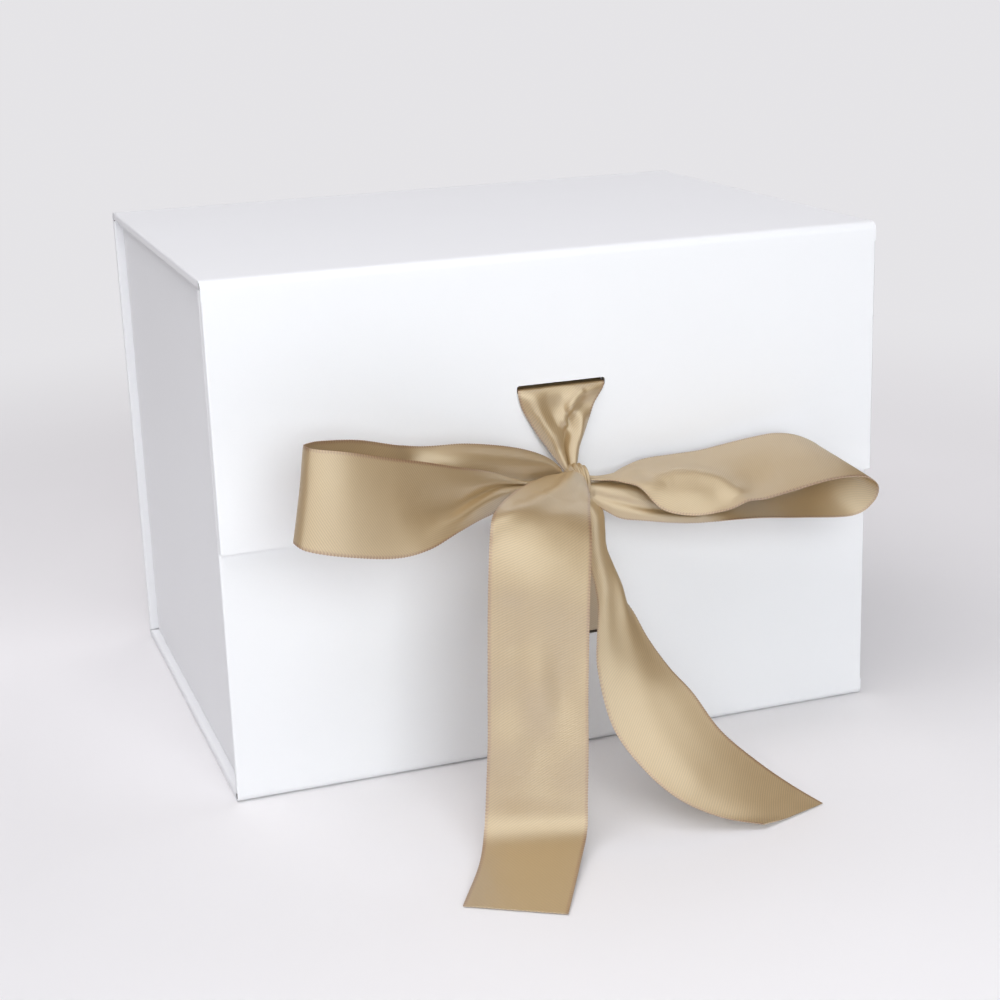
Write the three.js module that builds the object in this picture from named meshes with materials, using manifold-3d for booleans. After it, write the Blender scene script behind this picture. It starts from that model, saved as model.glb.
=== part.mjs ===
// A ship-flat magnetic gift box with a changeable satin ribbon, tied in a bow in front.
//
// Millimetres. X runs to the right, Y to the back and Z up. The origin is on the table, under
// the middle of the box. Five wrapped panels in a row make the case: front, base, back, lid and
// flap, with a paper crease between each two. Two side walls stand inside the case on glued tabs.
import * as THREE from 'three';
import { mergeVertices } from 'three/addons/utils/BufferGeometryUtils.js';
import Module from 'manifold-3d';

const wasm = await Module();
wasm.setup();

// Box sizes, outside
const boxWidth = 200;
const boxDepth = 150;
const boxHeight = 150;
const flapDrop = 75;

// Sheets that every panel is laminated from
const board = 2;
const paper = 0.2;
const glue = 0.05;
const turnIn = 15;
const linerInset = 3;
const bareEndInset = 0.1;
const edgeRound = 0.6;

// Clearances
const flapGap = 0.6;
const lidGap = 0.6;
const wallGap = 0.3;
const creaseGap = 0.2;
const sideInset = 2.75;

// Glued tabs of the side walls
const tabWidth = 25;
const tabCard = 0.6;
const tabTrim = 8;
const tapeWidth = 15;
const tape = 0.2;

// Magnets
const magnetRadius = 6;
const magnetThickness = 1.5;
const magnetInset = 35;
const magnetRise = 11;
const magnetClearance = 0.15;

// Ribbon and its slots
const ribbonWidth = 26;
const ribbonThickness = 0.4;
const slotSlack = 0.3;
const slotHeight = 2.5;
const slotRound = 0.8;
const upperSlotDrop = 38.5;
const lowerSlotRise = 36;
const runBend = 1.2;
const runStand = 0.5;

// What follows from the sizes
const skin = paper + glue;
const panel = board + 2 * skin;
const liner = glue + paper;
const frontFace = -boxDepth / 2;
const flapInner = frontFace - flapGap;
const flapFace = flapInner - panel;
const lidUnderside = boxHeight - panel;
const flapBottom = boxHeight - flapDrop;
const upperSlot = boxHeight - upperSlotDrop;
const slotLength = ribbonWidth + 2 * slotSlack;
const magnetSide = boxWidth / 2 - magnetInset;
const magnetHeight = flapBottom + magnetRise;

// Colours as photographed
const white = new THREE.Color(0xf3f3f5);
const lining = new THREE.Color(0xf7f7f7);
const greyboard = new THREE.Color(0xa9a196);
const champagne = new THREE.Color(0xc6ae88);
const steel = new THREE.Color(0x9b9ca0);
const tapeTint = new THREE.Color(0xdfe2e0);

const giftBox = new THREE.Group();

function finish(color, roughness, metalness = 0) {
  return new THREE.MeshStandardMaterial({ color, roughness, metalness });
}

function named(name, geometry, material) {
  const mesh = new THREE.Mesh(geometry, material);
  mesh.name = name;
  return mesh;
}

// A closed geometry as a solid that can be cut
function solidOf(geometry) {
  const bare = geometry.clone();
  bare.deleteAttribute('normal');
  bare.deleteAttribute('uv');
  const merged = mergeVertices(bare, 1e-4);
  const vertProperties = new Float32Array(merged.attributes.position.array);
  const triVerts = new Uint32Array(merged.index.array);
  return new wasm.Manifold(new wasm.Mesh({ numProp: 3, vertProperties, triVerts }));
}

function geometryOf(solid) {
  const mesh = solid.getMesh();
  const geometry = new THREE.BufferGeometry();
  geometry.setAttribute('position', new THREE.BufferAttribute(mesh.vertProperties, 3));
  geometry.setIndex(new THREE.BufferAttribute(mesh.triVerts, 1));
  geometry.computeVertexNormals();
  return geometry;
}

// A box between two corners
function block(low, high) {
  const size = high.map((value, axis) => value - low[axis]);
  const middle = high.map((value, axis) => (value + low[axis]) / 2);
  return new THREE.BoxGeometry(...size).translate(...middle);
}

// A rectangle with round corners, as a shape round its centre
function roundedShape(width, height, radius) {
  const x = width / 2 - radius;
  const y = height / 2 - radius;
  const shape = new THREE.Shape();
  shape.absarc(x, y, radius, 0, Math.PI / 2);
  shape.absarc(-x, y, radius, Math.PI / 2, Math.PI);
  shape.absarc(-x, -y, radius, Math.PI, 1.5 * Math.PI);
  shape.absarc(x, -y, radius, 1.5 * Math.PI, 2 * Math.PI);
  return shape;
}

// A panel lies flat while it is made: X across it, Y along it from its first edge, and Z from its
// outer face inward. The outer paper wraps the two long sides, and each end that isn't a crease.
function wrappedPaper(width, length, wrapStart, wrapEnd) {
  const outline = roundedShape(width, panel, edgeRound);
  const bar = new THREE.ExtrudeGeometry(outline, { depth: length, bevelEnabled: false, curveSegments: 3 });
  bar.rotateX(Math.PI / 2).translate(0, length, panel / 2);
  const past = 1;
  const start = wrapStart ? paper : -past;
  const end = wrapEnd ? length - paper : length + past;
  const core = block([-width / 2 + paper, start, paper], [width / 2 - paper, end, panel - paper]);
  const windowStart = wrapStart ? turnIn : -past;
  const windowEnd = wrapEnd ? length - turnIn : length + past;
  const opening = block(
    [-width / 2 + turnIn, windowStart, panel / 2],
    [width / 2 - turnIn, windowEnd, panel + past],
  );
  return solidOf(bar).subtract(solidOf(core)).subtract(solidOf(opening));
}

function boardSheet(width, length, wrapStart, wrapEnd) {
  const start = wrapStart ? skin : 0;
  const end = wrapEnd ? length - skin : length;
  return solidOf(block([-width / 2 + skin, start, skin], [width / 2 - skin, end, skin + board]));
}

// The liner stays back on the turned-in paper, and covers the board right up to a bare end
function liningSheet(width, length, wrapStart, wrapEnd) {
  const start = wrapStart ? linerInset : bareEndInset;
  const end = length - (wrapEnd ? linerInset : bareEndInset);
  const low = [-width / 2 + linerInset, start, panel + glue];
  const high = [width / 2 - linerInset, end, panel + glue + paper];
  return solidOf(block(low, high));
}

// The ribbon's slot, right through a panel
function slotCut(height) {
  const past = 2;
  const depth = panel + liner + 2 * past;
  const shape = roundedShape(slotLength, slotHeight, slotRound);
  const cut = new THREE.ExtrudeGeometry(shape, { depth, bevelEnabled: false, curveSegments: 3 });
  return solidOf(cut.translate(0, height, -past));
}

// A magnet's pocket, sunk into the board from its inner side
function pocketCut(x, height) {
  const radius = magnetRadius + magnetClearance;
  const depth = magnetThickness + 2 * magnetClearance;
  const past = 1;
  const cut = new THREE.CylinderGeometry(radius, radius, depth + past, 32);
  cut.rotateX(Math.PI / 2).translate(x, height, skin + board - depth + (depth + past) / 2);
  return solidOf(cut);
}

function makePanel(name, { width, length, wrapStart = false, wrapEnd = false, slots = [], magnetsAt = null }) {
  const group = new THREE.Group();
  let core = boardSheet(width, length, wrapStart, wrapEnd);
  let cover = wrappedPaper(width, length, wrapStart, wrapEnd);
  let lined = liningSheet(width, length, wrapStart, wrapEnd);
  for (const height of slots) {
    const cut = slotCut(height);
    core = core.subtract(cut);
    cover = cover.subtract(cut);
    lined = lined.subtract(cut);
  }
  if (magnetsAt !== null) {
    for (const side of [-1, 1]) {
      core = core.subtract(pocketCut(side * magnetSide, magnetsAt));
      const magnet = new THREE.CylinderGeometry(magnetRadius, magnetRadius, magnetThickness, 32);
      magnet.rotateX(Math.PI / 2);
      const label = side < 0 ? 'right' : 'left';
      const disc = named(`${name}_magnet_${label}`, magnet, finish(steel, 0.35, 0.9));
      const seat = skin + board - magnetClearance - magnetThickness / 2;
      disc.position.set(side * magnetSide, magnetsAt, seat);
      group.add(disc);
    }
  }
  group.add(named(`${name}_board`, geometryOf(core), finish(greyboard, 0.9)));
  group.add(named(`${name}_outer_paper`, geometryOf(cover), finish(white, 0.55)));
  group.add(named(`${name}_liner`, geometryOf(lined), finish(lining, 0.6)));
  return group;
}

// Stands a flat panel up: where its X, Y and Z directions go, and where its first edge goes
function standPanel(group, across, along, inward, place) {
  const turn = new THREE.Matrix4().makeBasis(
    new THREE.Vector3(...across), new THREE.Vector3(...along), new THREE.Vector3(...inward),
  );
  group.quaternion.setFromRotationMatrix(turn);
  group.position.set(...place);
  giftBox.add(group);
}

// Case panels, from the front wall round to the flap
const caseInside = boxDepth - 2 * panel;
const baseLength = caseInside - 2 * creaseGap;
const wallStart = panel + creaseGap;
const frontLength = lidUnderside - lidGap - wallStart;
const backLength = lidUnderside - creaseGap - wallStart;
const lidLength = boxDepth / 2 - panel - flapInner - 2 * creaseGap;
const flapLength = flapDrop - panel - creaseGap;

const base = makePanel('base', { width: boxWidth, length: baseLength });
standPanel(base, [1, 0, 0], [0, 1, 0], [0, 0, 1], [0, frontFace + panel + creaseGap, 0]);

const front = makePanel('front', {
  width: boxWidth,
  length: frontLength,
  wrapEnd: true,
  slots: [lowerSlotRise - wallStart, upperSlot - wallStart],
  magnetsAt: magnetHeight - wallStart,
});
standPanel(front, [-1, 0, 0], [0, 0, 1], [0, 1, 0], [0, frontFace, wallStart]);

const back = makePanel('back', { width: boxWidth, length: backLength });
standPanel(back, [1, 0, 0], [0, 0, 1], [0, -1, 0], [0, boxDepth / 2, wallStart]);

const lid = makePanel('lid', { width: boxWidth, length: lidLength });
standPanel(lid, [-1, 0, 0], [0, 1, 0], [0, 0, -1], [0, flapInner + creaseGap, boxHeight]);

const flap = makePanel('flap', {
  width: boxWidth,
  length: flapLength,
  wrapStart: true,
  slots: [upperSlot - flapBottom],
  magnetsAt: magnetHeight - flapBottom,
});
standPanel(flap, [-1, 0, 0], [0, 0, 1], [0, 1, 0], [0, flapFace, flapBottom]);

// Creases: the outer paper runs round each corner between two panels, with no board in it
function crease(name, turn, y, z) {
  const lead = creaseGap - glue;
  const inner = panel - paper;
  const outline = new THREE.Shape();
  outline.moveTo(-lead, panel);
  outline.absarc(0, 0, panel, Math.PI / 2, 0, true);
  outline.lineTo(panel, -lead);
  outline.lineTo(inner, -lead);
  outline.absarc(0, 0, inner, 0, Math.PI / 2, false);
  outline.lineTo(-lead, inner);
  const settings = { depth: boxWidth, bevelEnabled: false, curveSegments: 6 };
  const strip = new THREE.ExtrudeGeometry(outline, settings);
  strip.translate(0, 0, -boxWidth / 2).rotateX(Math.PI / 2).rotateZ(Math.PI / 2).rotateX(turn);
  const mesh = named(name, strip, finish(white, 0.55));
  mesh.position.set(0, y, z);
  giftBox.add(mesh);
}

const quarter = Math.PI / 2;
const frontInner = frontFace + panel;
const backInner = boxDepth / 2 - panel;
crease('base_front_crease', 2 * quarter, frontInner, panel);
crease('base_back_crease', -quarter, backInner, panel);
crease('lid_back_crease', 0, backInner, lidUnderside);
crease('lid_flap_crease', quarter, flapInner, lidUnderside);

// Side walls, inset from the case's edges, with their glued tabs and tape
const sideWidth = caseInside - 2 * wallGap;
const sideLength = lidUnderside - lidGap - panel - wallGap;
const sideFace = boxWidth / 2 - sideInset;
for (const [label, side] of [['left', -1], ['right', 1]]) {
  const wall = makePanel(`${label}_side`, { width: sideWidth, length: sideLength, wrapEnd: true });
  const foot = panel + wallGap;
  standPanel(wall, [0, -side, 0], [0, 0, 1], [-side, 0, 0], [side * sideFace, 0, foot]);

  const tabLow = panel + liner + wallGap + tabTrim;
  const tabHigh = lidUnderside - lidGap - tabTrim;
  const tabOuter = sideFace - panel - glue;
  for (const [end, facing] of [['front', -1], ['back', 1]]) {
    const wallFace = facing * (backInner - liner - glue);
    const tabFace = wallFace - facing * (tape + glue);
    const xs = [side * tabOuter, side * (tabOuter - tabWidth)].sort((a, b) => a - b);
    const ys = [tabFace, tabFace - facing * tabCard].sort((a, b) => a - b);
    const card = block([xs[0], ys[0], tabLow], [xs[1], ys[1], tabHigh]);
    giftBox.add(named(`${label}_${end}_tab`, card, finish(lining, 0.6)));

    const middle = side * (tabOuter - tabWidth / 2);
    const strip = block([-tapeWidth / 2, -tape / 2, tabLow + tape], [tapeWidth / 2, tape / 2, tabHigh - tape]);
    const tapeStrip = named(`${label}_${end}_tape`, strip, finish(tapeTint, 0.4));
    tapeStrip.position.set(middle, wallFace - (facing * tape) / 2, 0);
    giftBox.add(tapeStrip);
  }
}

// Ribbon inside the box: in at the upper slot, down behind the front wall and out at the lower one
const satin = finish(champagne, 0.38);
{
  const half = ribbonThickness / 2;
  const top = upperSlot;
  const low = lowerSlotRise;
  const near = frontInner + liner + runStand;
  const far = near + ribbonThickness;
  const bendOut = runBend + ribbonThickness;
  const outline = new THREE.Shape();
  outline.moveTo(frontFace, top + half);
  outline.lineTo(far - bendOut, top + half);
  outline.absarc(far - bendOut, top + half - bendOut, bendOut, quarter, 0, true);
  outline.lineTo(far, low - half + bendOut);
  outline.absarc(far - bendOut, low - half + bendOut, bendOut, 0, -quarter, true);
  outline.lineTo(frontFace, low - half);
  outline.lineTo(frontFace, low + half);
  outline.absarc(near - runBend, low + half + runBend, runBend, -quarter, 0, false);
  outline.absarc(near - runBend, top - half - runBend, runBend, 0, quarter, false);
  outline.lineTo(frontFace, top - half);
  const settings = { depth: ribbonWidth, bevelEnabled: false, curveSegments: 5 };
  const run = new THREE.ExtrudeGeometry(outline, settings);
  run.translate(0, 0, -ribbonWidth / 2).rotateX(quarter).rotateZ(quarter);
  giftBox.add(named('ribbon_inner_run', run, satin));
}

// The bow in front. Each strand is a list of rows, and a row holds the two ends of a line across the
// ribbon: [to the right, out from the flap, up]. The rows were chosen by hand on a drawing of a 26 mm
// ribbon with its knot 85 mm above the table, and they follow the ribbon's width and the knot's height.
const drawn = {
  ribbonWidth: 26,
  knotHeight: 85,
  knotCentre: [0.3, 9.5, 85.5],
  knotHalf: [3.6, 4.3, 5.3],
  upperNeckEnd: [0, 0, 90.3],
  lowerNeckEnd: [0, 0, 80.9],
};
const bowScale = ribbonWidth / drawn.ribbonWidth;
const knotShare = 0.65;
const knotHeight = lowerSlotRise + knotShare * (upperSlot - lowerSlotRise);

function bowPlace([right, out, up]) {
  const height = knotHeight + (up - drawn.knotHeight) * bowScale;
  return new THREE.Vector3(right * bowScale, flapFace - out * bowScale, height);
}

// A tail's height runs from the knot down to the table, whatever the knot's height
function tailPlace([right, out, up]) {
  const clear = ribbonThickness;
  const fall = (knotHeight - clear) / (drawn.knotHeight - clear);
  const height = clear + (up - clear) * fall;
  return new THREE.Vector3(right * bowScale, flapFace - out * bowScale, height);
}

// A closed thin solid over the rows. Where the ribbon is gathered narrower than its real width,
// it lies in pleats, which fade as it spreads.
function strand(rows, place, steps, { columns = 6, pleats = 2, pleatDepth = 0.7 } = {}) {
  const firstEdge = new THREE.CatmullRomCurve3(rows.map((row) => place(row[0])));
  const secondEdge = new THREE.CatmullRomCurve3(rows.map((row) => place(row[1])));
  const points = [];
  const half = ribbonThickness / 2;
  for (let step = 0; step <= steps; step += 1) {
    const t = step / steps;
    const a = firstEdge.getPoint(t);
    const b = secondEdge.getPoint(t);
    const across = b.clone().sub(a);
    const along = firstEdge.getTangent(t).add(secondEdge.getTangent(t));
    const normal = along.clone().cross(across).normalize();
    const gathered = THREE.MathUtils.clamp(1 - across.length() / ribbonWidth, 0, 1);
    for (let column = 0; column <= columns; column += 1) {
      const share = column / columns;
      const pleat = pleatDepth * gathered * Math.sin(2 * Math.PI * pleats * share);
      const middle = a.clone().addScaledVector(across, share).addScaledVector(normal, pleat);
      points.push([
        middle.clone().addScaledVector(normal, half),
        middle.clone().addScaledVector(normal, -half),
      ]);
    }
  }
  return closedSheet(points, steps, columns);
}

// Two faces and the edges between them, from rows of point pairs
function closedSheet(points, steps, columns) {
  const positions = points.flatMap(([front, rear]) => [...front, ...rear]);
  const index = [];
  const at = (step, column, rear) => 2 * (step * (columns + 1) + column) + rear;
  const quad = (a, b, c, d) => index.push(a, b, c, a, c, d);
  for (let step = 0; step < steps; step += 1) {
    for (let column = 0; column < columns; column += 1) {
      quad(at(step, column, 0), at(step + 1, column, 0), at(step + 1, column + 1, 0), at(step, column + 1, 0));
      quad(at(step, column, 1), at(step, column + 1, 1), at(step + 1, column + 1, 1), at(step + 1, column, 1));
    }
    quad(at(step, 0, 0), at(step, 0, 1), at(step + 1, 0, 1), at(step + 1, 0, 0));
    quad(at(step, columns, 0), at(step + 1, columns, 0), at(step + 1, columns, 1), at(step, columns, 1));
  }
  for (let column = 0; column < columns; column += 1) {
    quad(at(0, column, 0), at(0, column + 1, 0), at(0, column + 1, 1), at(0, column, 1));
    quad(at(steps, column, 0), at(steps, column, 1), at(steps, column + 1, 1), at(steps, column + 1, 0));
  }
  const geometry = new THREE.BufferGeometry();
  geometry.setAttribute('position', new THREE.Float32BufferAttribute(positions, 3));
  geometry.setIndex(index);
  geometry.computeVertexNormals();
  return geometry;
}

const leftTailRows = [
  [[-4.8, 12.2, 89.3], [-1.2, 13, 89.5]],
  [[-11.6, 17, 90.5], [-0.8, 16.4, 88.9]],
  [[-19.5, 24, 91.3], [-1.6, 22.5, 87.6]],
  [[-27.3, 32, 91.3], [-4.5, 31, 86.8]],
  [[-33.2, 38.5, 90.3], [-7.8, 39.5, 85]],
  [[-36.5, 42, 87.6], [-10.3, 46.5, 80.7]],
  [[-39.2, 46.5, 74.6], [-13.8, 53, 66]],
  [[-40.4, 48, 61.8], [-14.9, 54.4, 53]],
  [[-41.6, 50, 47.1], [-16.4, 57, 40.4]],
  [[-42.7, 51.5, 31.5], [-17.4, 59, 27.7]],
  [[-43.8, 52, 17.8], [-18.4, 60.2, 14.1]],
  [[-45.6, 54.5, 7.5], [-20, 63.2, 6]],
  [[-50.3, 63.5, 2.5], [-26.5, 74, 2.3]],
  [[-60, 79, 0.4], [-37.2, 93, 0.4]],
];

const rightTailRows = [
  [[1.5, 10, 79.8], [5, 10, 81.6]],
  [[3, 16, 70.5], [6, 16, 70]],
  [[2, 22, 64], [5.5, 21, 64]],
  [[-1, 28, 57], [8.5, 25, 54]],
  [[-5, 35, 48], [12.5, 31, 45]],
  [[-7.5, 43, 38], [16.5, 38, 36]],
  [[-6, 51, 27], [20, 45, 31]],
  [[-1, 57, 18], [24.5, 52, 22.5]],
  [[7, 63, 10], [33, 57, 14]],
  [[17.5, 67, 4.5], [42, 60, 6.5]],
  [[28.5, 70, 1], [50.5, 62.7, 0.4]],
];

const leftLoopRows = [
  [[-3.65, 10.5, 87.5], [-3.65, 11.5, 84]],
  [[-20, 21, 89.5], [-27, 30, 82]],
  [[-37, 32, 99], [-44, 38, 84]],
  [[-46, 36, 102.5], [-50.5, 41, 83]],
  [[-60.5, 39, 107], [-63, 44, 82]],
  [[-74.5, 40, 110.5], [-77, 45, 85]],
  [[-81.5, 38, 111.5], [-86, 42.5, 87]],
  [[-83, 35, 112], [-88, 38.5, 88]],
  [[-81.5, 31, 111.5], [-86, 33.5, 86.5]],
  [[-77, 28, 111], [-80, 30, 85]],
  [[-66, 24, 109], [-68.5, 27, 83]],
  [[-53, 20, 105.5], [-55.5, 22, 80]],
  [[-40, 17, 103], [-42, 18, 79]],
  [[-29, 15, 101], [-30, 15, 80]],
  [[-19, 12.5, 97.5], [-19, 12, 83]],
  [[-10, 10, 92], [-10, 10, 85.5]],
  [[-3.65, 7.5, 87.5], [-3.65, 7.5, 84]],
];

const rightLoopRows = [
  [[4.25, 8.5, 86.5], [4.25, 10.5, 84.5]],
  [[11, 6.5, 85.5], [9, 12, 84.5]],
  [[16.5, 6, 87], [13.5, 14, 83.5]],
  [[24, 5, 88], [19.5, 18, 81]],
  [[32.5, 4, 88.5], [24, 21.5, 77.5]],
  [[41, 4, 88.5], [31.5, 24.5, 75.5]],
  [[55, 4.5, 90], [46, 26, 77.5]],
  [[65, 6, 91.5], [58.5, 27.5, 79.5]],
  [[70.5, 8, 90.5], [70.5, 29, 82]],
  [[74, 9.5, 88.5], [81, 28.5, 82]],
  [[76, 10, 86.5], [86.5, 27.5, 78.5]],
  [[74, 9, 84], [85.5, 26, 73]],
  [[69, 6.5, 82], [79.5, 24, 69]],
  [[59, 4, 80], [64, 22, 70]],
  [[48, 2.5, 79.5], [50.5, 21, 71]],
  [[36, 2, 80.5], [34, 19, 71]],
  [[24, 2.5, 81], [20.5, 15, 74]],
  [[14, 4.5, 81.5], [11.5, 11, 75.5]],
  [[4.1, 7.5, 82.5], [4, 9.5, 81]],
];

// The knot: a small hard lump, with the wrap's pleats running round it
function knotGeometry() {
  const [halfWidth, halfDepth, halfHeight] = drawn.knotHalf;
  const pleatCount = 5;
  const pleatDepth = 0.06;
  const lump = new THREE.SphereGeometry(1, 20, 12);
  const position = lump.attributes.position;
  const point = new THREE.Vector3();
  for (let index = 0; index < position.count; index += 1) {
    point.fromBufferAttribute(position, index);
    const pleat = 1 + pleatDepth * Math.cos(pleatCount * Math.PI * point.x);
    point.multiply(new THREE.Vector3(halfWidth, halfDepth * pleat, halfHeight * pleat));
    position.setXYZ(index, point.x, point.y, point.z);
  }
  const bare = lump.clone();
  bare.deleteAttribute('normal');
  bare.deleteAttribute('uv');
  const merged = mergeVertices(bare, 1e-3);
  merged.scale(bowScale, bowScale, bowScale);
  merged.computeVertexNormals();
  return merged;
}

const knot = named('ribbon_knot', knotGeometry(), satin);
knot.position.copy(bowPlace(drawn.knotCentre));
giftBox.add(knot);

giftBox.add(named('ribbon_left_loop', strand(leftLoopRows, bowPlace, 48), satin));
giftBox.add(named('ribbon_right_loop', strand(rightLoopRows, bowPlace, 48), satin));
giftBox.add(named('ribbon_left_tail', strand(leftTailRows, tailPlace, 36), satin));
giftBox.add(named('ribbon_right_tail', strand(rightTailRows, tailPlace, 36), satin));

// Necks: from each slot to the knot. A row is [half width, out from the flap, share of the way]
function neck(name, slotZ, knotEnd, rows) {
  const place = ([right, out, share]) => {
    const height = slotZ + (knotEnd.z - slotZ) * share;
    return new THREE.Vector3(right * bowScale, flapFace - out * bowScale, height);
  };
  const pairs = rows.map(([half, out, share]) => [[-half, out, share], [half, out, share]]);
  giftBox.add(named(name, strand(pairs, place, 16, { pleats: 3, pleatDepth: 0.8 }), satin));
}

const slotOut = (flapInner + glue - flapFace) / bowScale;
const wallOut = (frontFace - wallGap - flapFace) / bowScale;
const upperNeckRows = [
  [13, -slotOut, 0],
  [13, -slotOut / 2, 0],
  [13, 0.6, 0.03],
  [12.4, 1.6, 0.2],
  [9.5, 2.4, 0.5],
  [5, 4.5, 0.85],
  [2.6, 6.3, 1],
];
neck('ribbon_upper_neck', upperSlot, bowPlace(drawn.upperNeckEnd), upperNeckRows);
const lowerNeckRows = [
  [13, -wallOut, 0],
  [13, -wallOut / 2, 0.02],
  [12.6, 0.5, 0.1],
  [10, 2, 0.4],
  [6, 4, 0.75],
  [3, 6.5, 1],
];
neck('ribbon_lower_neck', lowerSlotRise, bowPlace(drawn.lowerNeckEnd), lowerNeckRows);

export default giftBox;
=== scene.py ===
import math

import bpy
import numpy as np
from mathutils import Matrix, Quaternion, Vector


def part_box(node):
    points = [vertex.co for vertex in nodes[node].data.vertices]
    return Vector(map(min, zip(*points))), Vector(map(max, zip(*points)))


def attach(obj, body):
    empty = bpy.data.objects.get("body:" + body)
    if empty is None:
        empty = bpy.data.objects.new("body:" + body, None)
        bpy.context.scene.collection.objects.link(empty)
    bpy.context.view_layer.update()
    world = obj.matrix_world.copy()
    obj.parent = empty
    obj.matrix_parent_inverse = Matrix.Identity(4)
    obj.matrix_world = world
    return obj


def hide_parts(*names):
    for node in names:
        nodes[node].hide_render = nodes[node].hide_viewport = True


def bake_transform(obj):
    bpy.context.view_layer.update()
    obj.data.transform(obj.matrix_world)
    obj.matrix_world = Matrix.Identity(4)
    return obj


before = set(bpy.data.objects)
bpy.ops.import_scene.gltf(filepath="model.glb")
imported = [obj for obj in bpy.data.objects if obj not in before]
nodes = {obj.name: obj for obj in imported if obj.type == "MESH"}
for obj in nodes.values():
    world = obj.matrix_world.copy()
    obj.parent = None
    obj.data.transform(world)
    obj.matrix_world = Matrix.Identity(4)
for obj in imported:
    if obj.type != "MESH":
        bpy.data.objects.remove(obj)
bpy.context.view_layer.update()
scene = bpy.context.scene
scene.view_settings.view_transform = "Standard"


# Camera
# It stands a little above the lid and to the left of the box's front, as in the photograph,
# with the slight roll that the picture has. The frame is square.
camera_place = Vector((-0.1870, -0.5663, 0.2329))
camera_target = Vector((0.0074, 0, 0.056))
camera_roll = math.radians(-1.96)
camera_data = bpy.data.cameras.new("camera")
camera_data.sensor_width = 36
camera_data.lens = 68.31
camera = bpy.data.objects.new("camera", camera_data)
camera.location = camera_place
camera.rotation_mode = "QUATERNION"
looking = (camera_target - camera_place).to_track_quat("-Z", "Y")
camera.rotation_quaternion = looking @ Quaternion((0, 0, 1), camera_roll)
scene.collection.objects.link(camera)
scene.camera = camera


# Floor and backdrop
# A wide pale table top that runs into a pale backdrop. Near the box it takes real shading and
# shadow, and further out it fades into the backdrop's own even tone. In reflections that far part
# glows with a painted reflection instead, pale on the left and darker towards the right.
def new_material(name):
    """A node material, with its tree and its shader's node."""
    material = bpy.data.materials.new(name)
    material.use_nodes = True
    tree = material.node_tree
    return material, tree, tree.nodes["Principled BSDF"]


def add_node(tree, kind, settings=None, **inputs):
    """Adds a node. Settings are its own, and inputs are values or links for its named sockets."""
    node = tree.nodes.new(kind)
    for key, value in (settings or {}).items():
        setattr(node, key, value)
    for key, value in inputs.items():
        socket = node.inputs[key.replace("_", " ")]
        if isinstance(value, bpy.types.NodeSocket):
            tree.links.new(value, socket)
        else:
            socket.default_value = value
    return node


def maths(tree, operation, *values):
    """The output of one sum or comparison on numbers or links."""
    node = tree.nodes.new("ShaderNodeMath")
    node.operation = operation
    for socket, value in zip(node.inputs, values):
        if isinstance(value, bpy.types.NodeSocket):
            tree.links.new(value, socket)
        else:
            socket.default_value = value
    return node.outputs[0]


def ramp_between(tree, value, low, high, from_value=0.0, to_value=1.0):
    """A smooth step of a value between two bounds."""
    node = tree.nodes.new("ShaderNodeMapRange")
    node.interpolation_type = "SMOOTHSTEP"
    tree.links.new(value, node.inputs["Value"])
    node.inputs["From Min"].default_value = low
    node.inputs["From Max"].default_value = high
    node.inputs["To Min"].default_value = from_value
    node.inputs["To Max"].default_value = to_value
    return node.outputs["Result"]


def seen_straight(tree):
    """1 for the rays that show the backdrop: from the camera, in a reflection or through glass."""
    rays = tree.nodes.new("ShaderNodeLightPath").outputs
    seen = maths(tree, "MAXIMUM", rays["Is Camera Ray"], rays["Is Glossy Ray"])
    return maths(tree, "MAXIMUM", seen, rays["Is Transmission Ray"])


backdrop_tone = (0.787, 0.778, 0.799, 1)
floor_radius = 3.0
floor_rings = 24
floor_sides = 96
floor_drop = 0.00002
shading_fades = (0.24, 0.62)
reflection_shade_span = (0.12, 0.50)
floor_points = [(0, 0, 0)]
floor_faces = []
for ring in range(1, floor_rings + 1):
    radius = floor_radius * (ring / floor_rings) ** 2
    for side in range(floor_sides):
        angle = 2 * math.pi * side / floor_sides
        floor_points.append((radius * math.cos(angle), radius * math.sin(angle), 0))
for side in range(floor_sides):
    after = (side + 1) % floor_sides
    floor_faces.append((0, 1 + side, 1 + after))
    for ring in range(floor_rings - 1):
        inner = 1 + ring * floor_sides
        outer = inner + floor_sides
        floor_faces.append((inner + side, outer + side, outer + after, inner + after))
floor_mesh = bpy.data.meshes.new("table_top")
floor_mesh.from_pydata(floor_points, [], floor_faces)
floor = bpy.data.objects.new("table_top", floor_mesh)
floor.location.z = -floor_drop
scene.collection.objects.link(floor)

floor_material, tree, shader = new_material("table_top")
shader.inputs["Roughness"].default_value = 0.7
shader.inputs["Specular IOR Level"].default_value = 0.2
position = tree.nodes.new("ShaderNodeNewGeometry").outputs["Position"]
cloudy = add_node(tree, "ShaderNodeTexNoise", Vector=position, Scale=9.0, Detail=2.0)
floor_tone = add_node(
    tree, "ShaderNodeMix", {"data_type": "RGBA"}, Factor=cloudy.outputs["Fac"],
)
floor_tone.inputs[6].default_value = (0.835, 0.82, 0.825, 1)
floor_tone.inputs[7].default_value = (0.875, 0.86, 0.87, 1)
tree.links.new(floor_tone.outputs[2], shader.inputs["Base Color"])
distance = add_node(tree, "ShaderNodeVectorMath", {"operation": "LENGTH"})
tree.links.new(position, distance.inputs[0])
fade = ramp_between(tree, distance.outputs["Value"], *shading_fades)
shown = maths(tree, "MULTIPLY", fade, seen_straight(tree))
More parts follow.
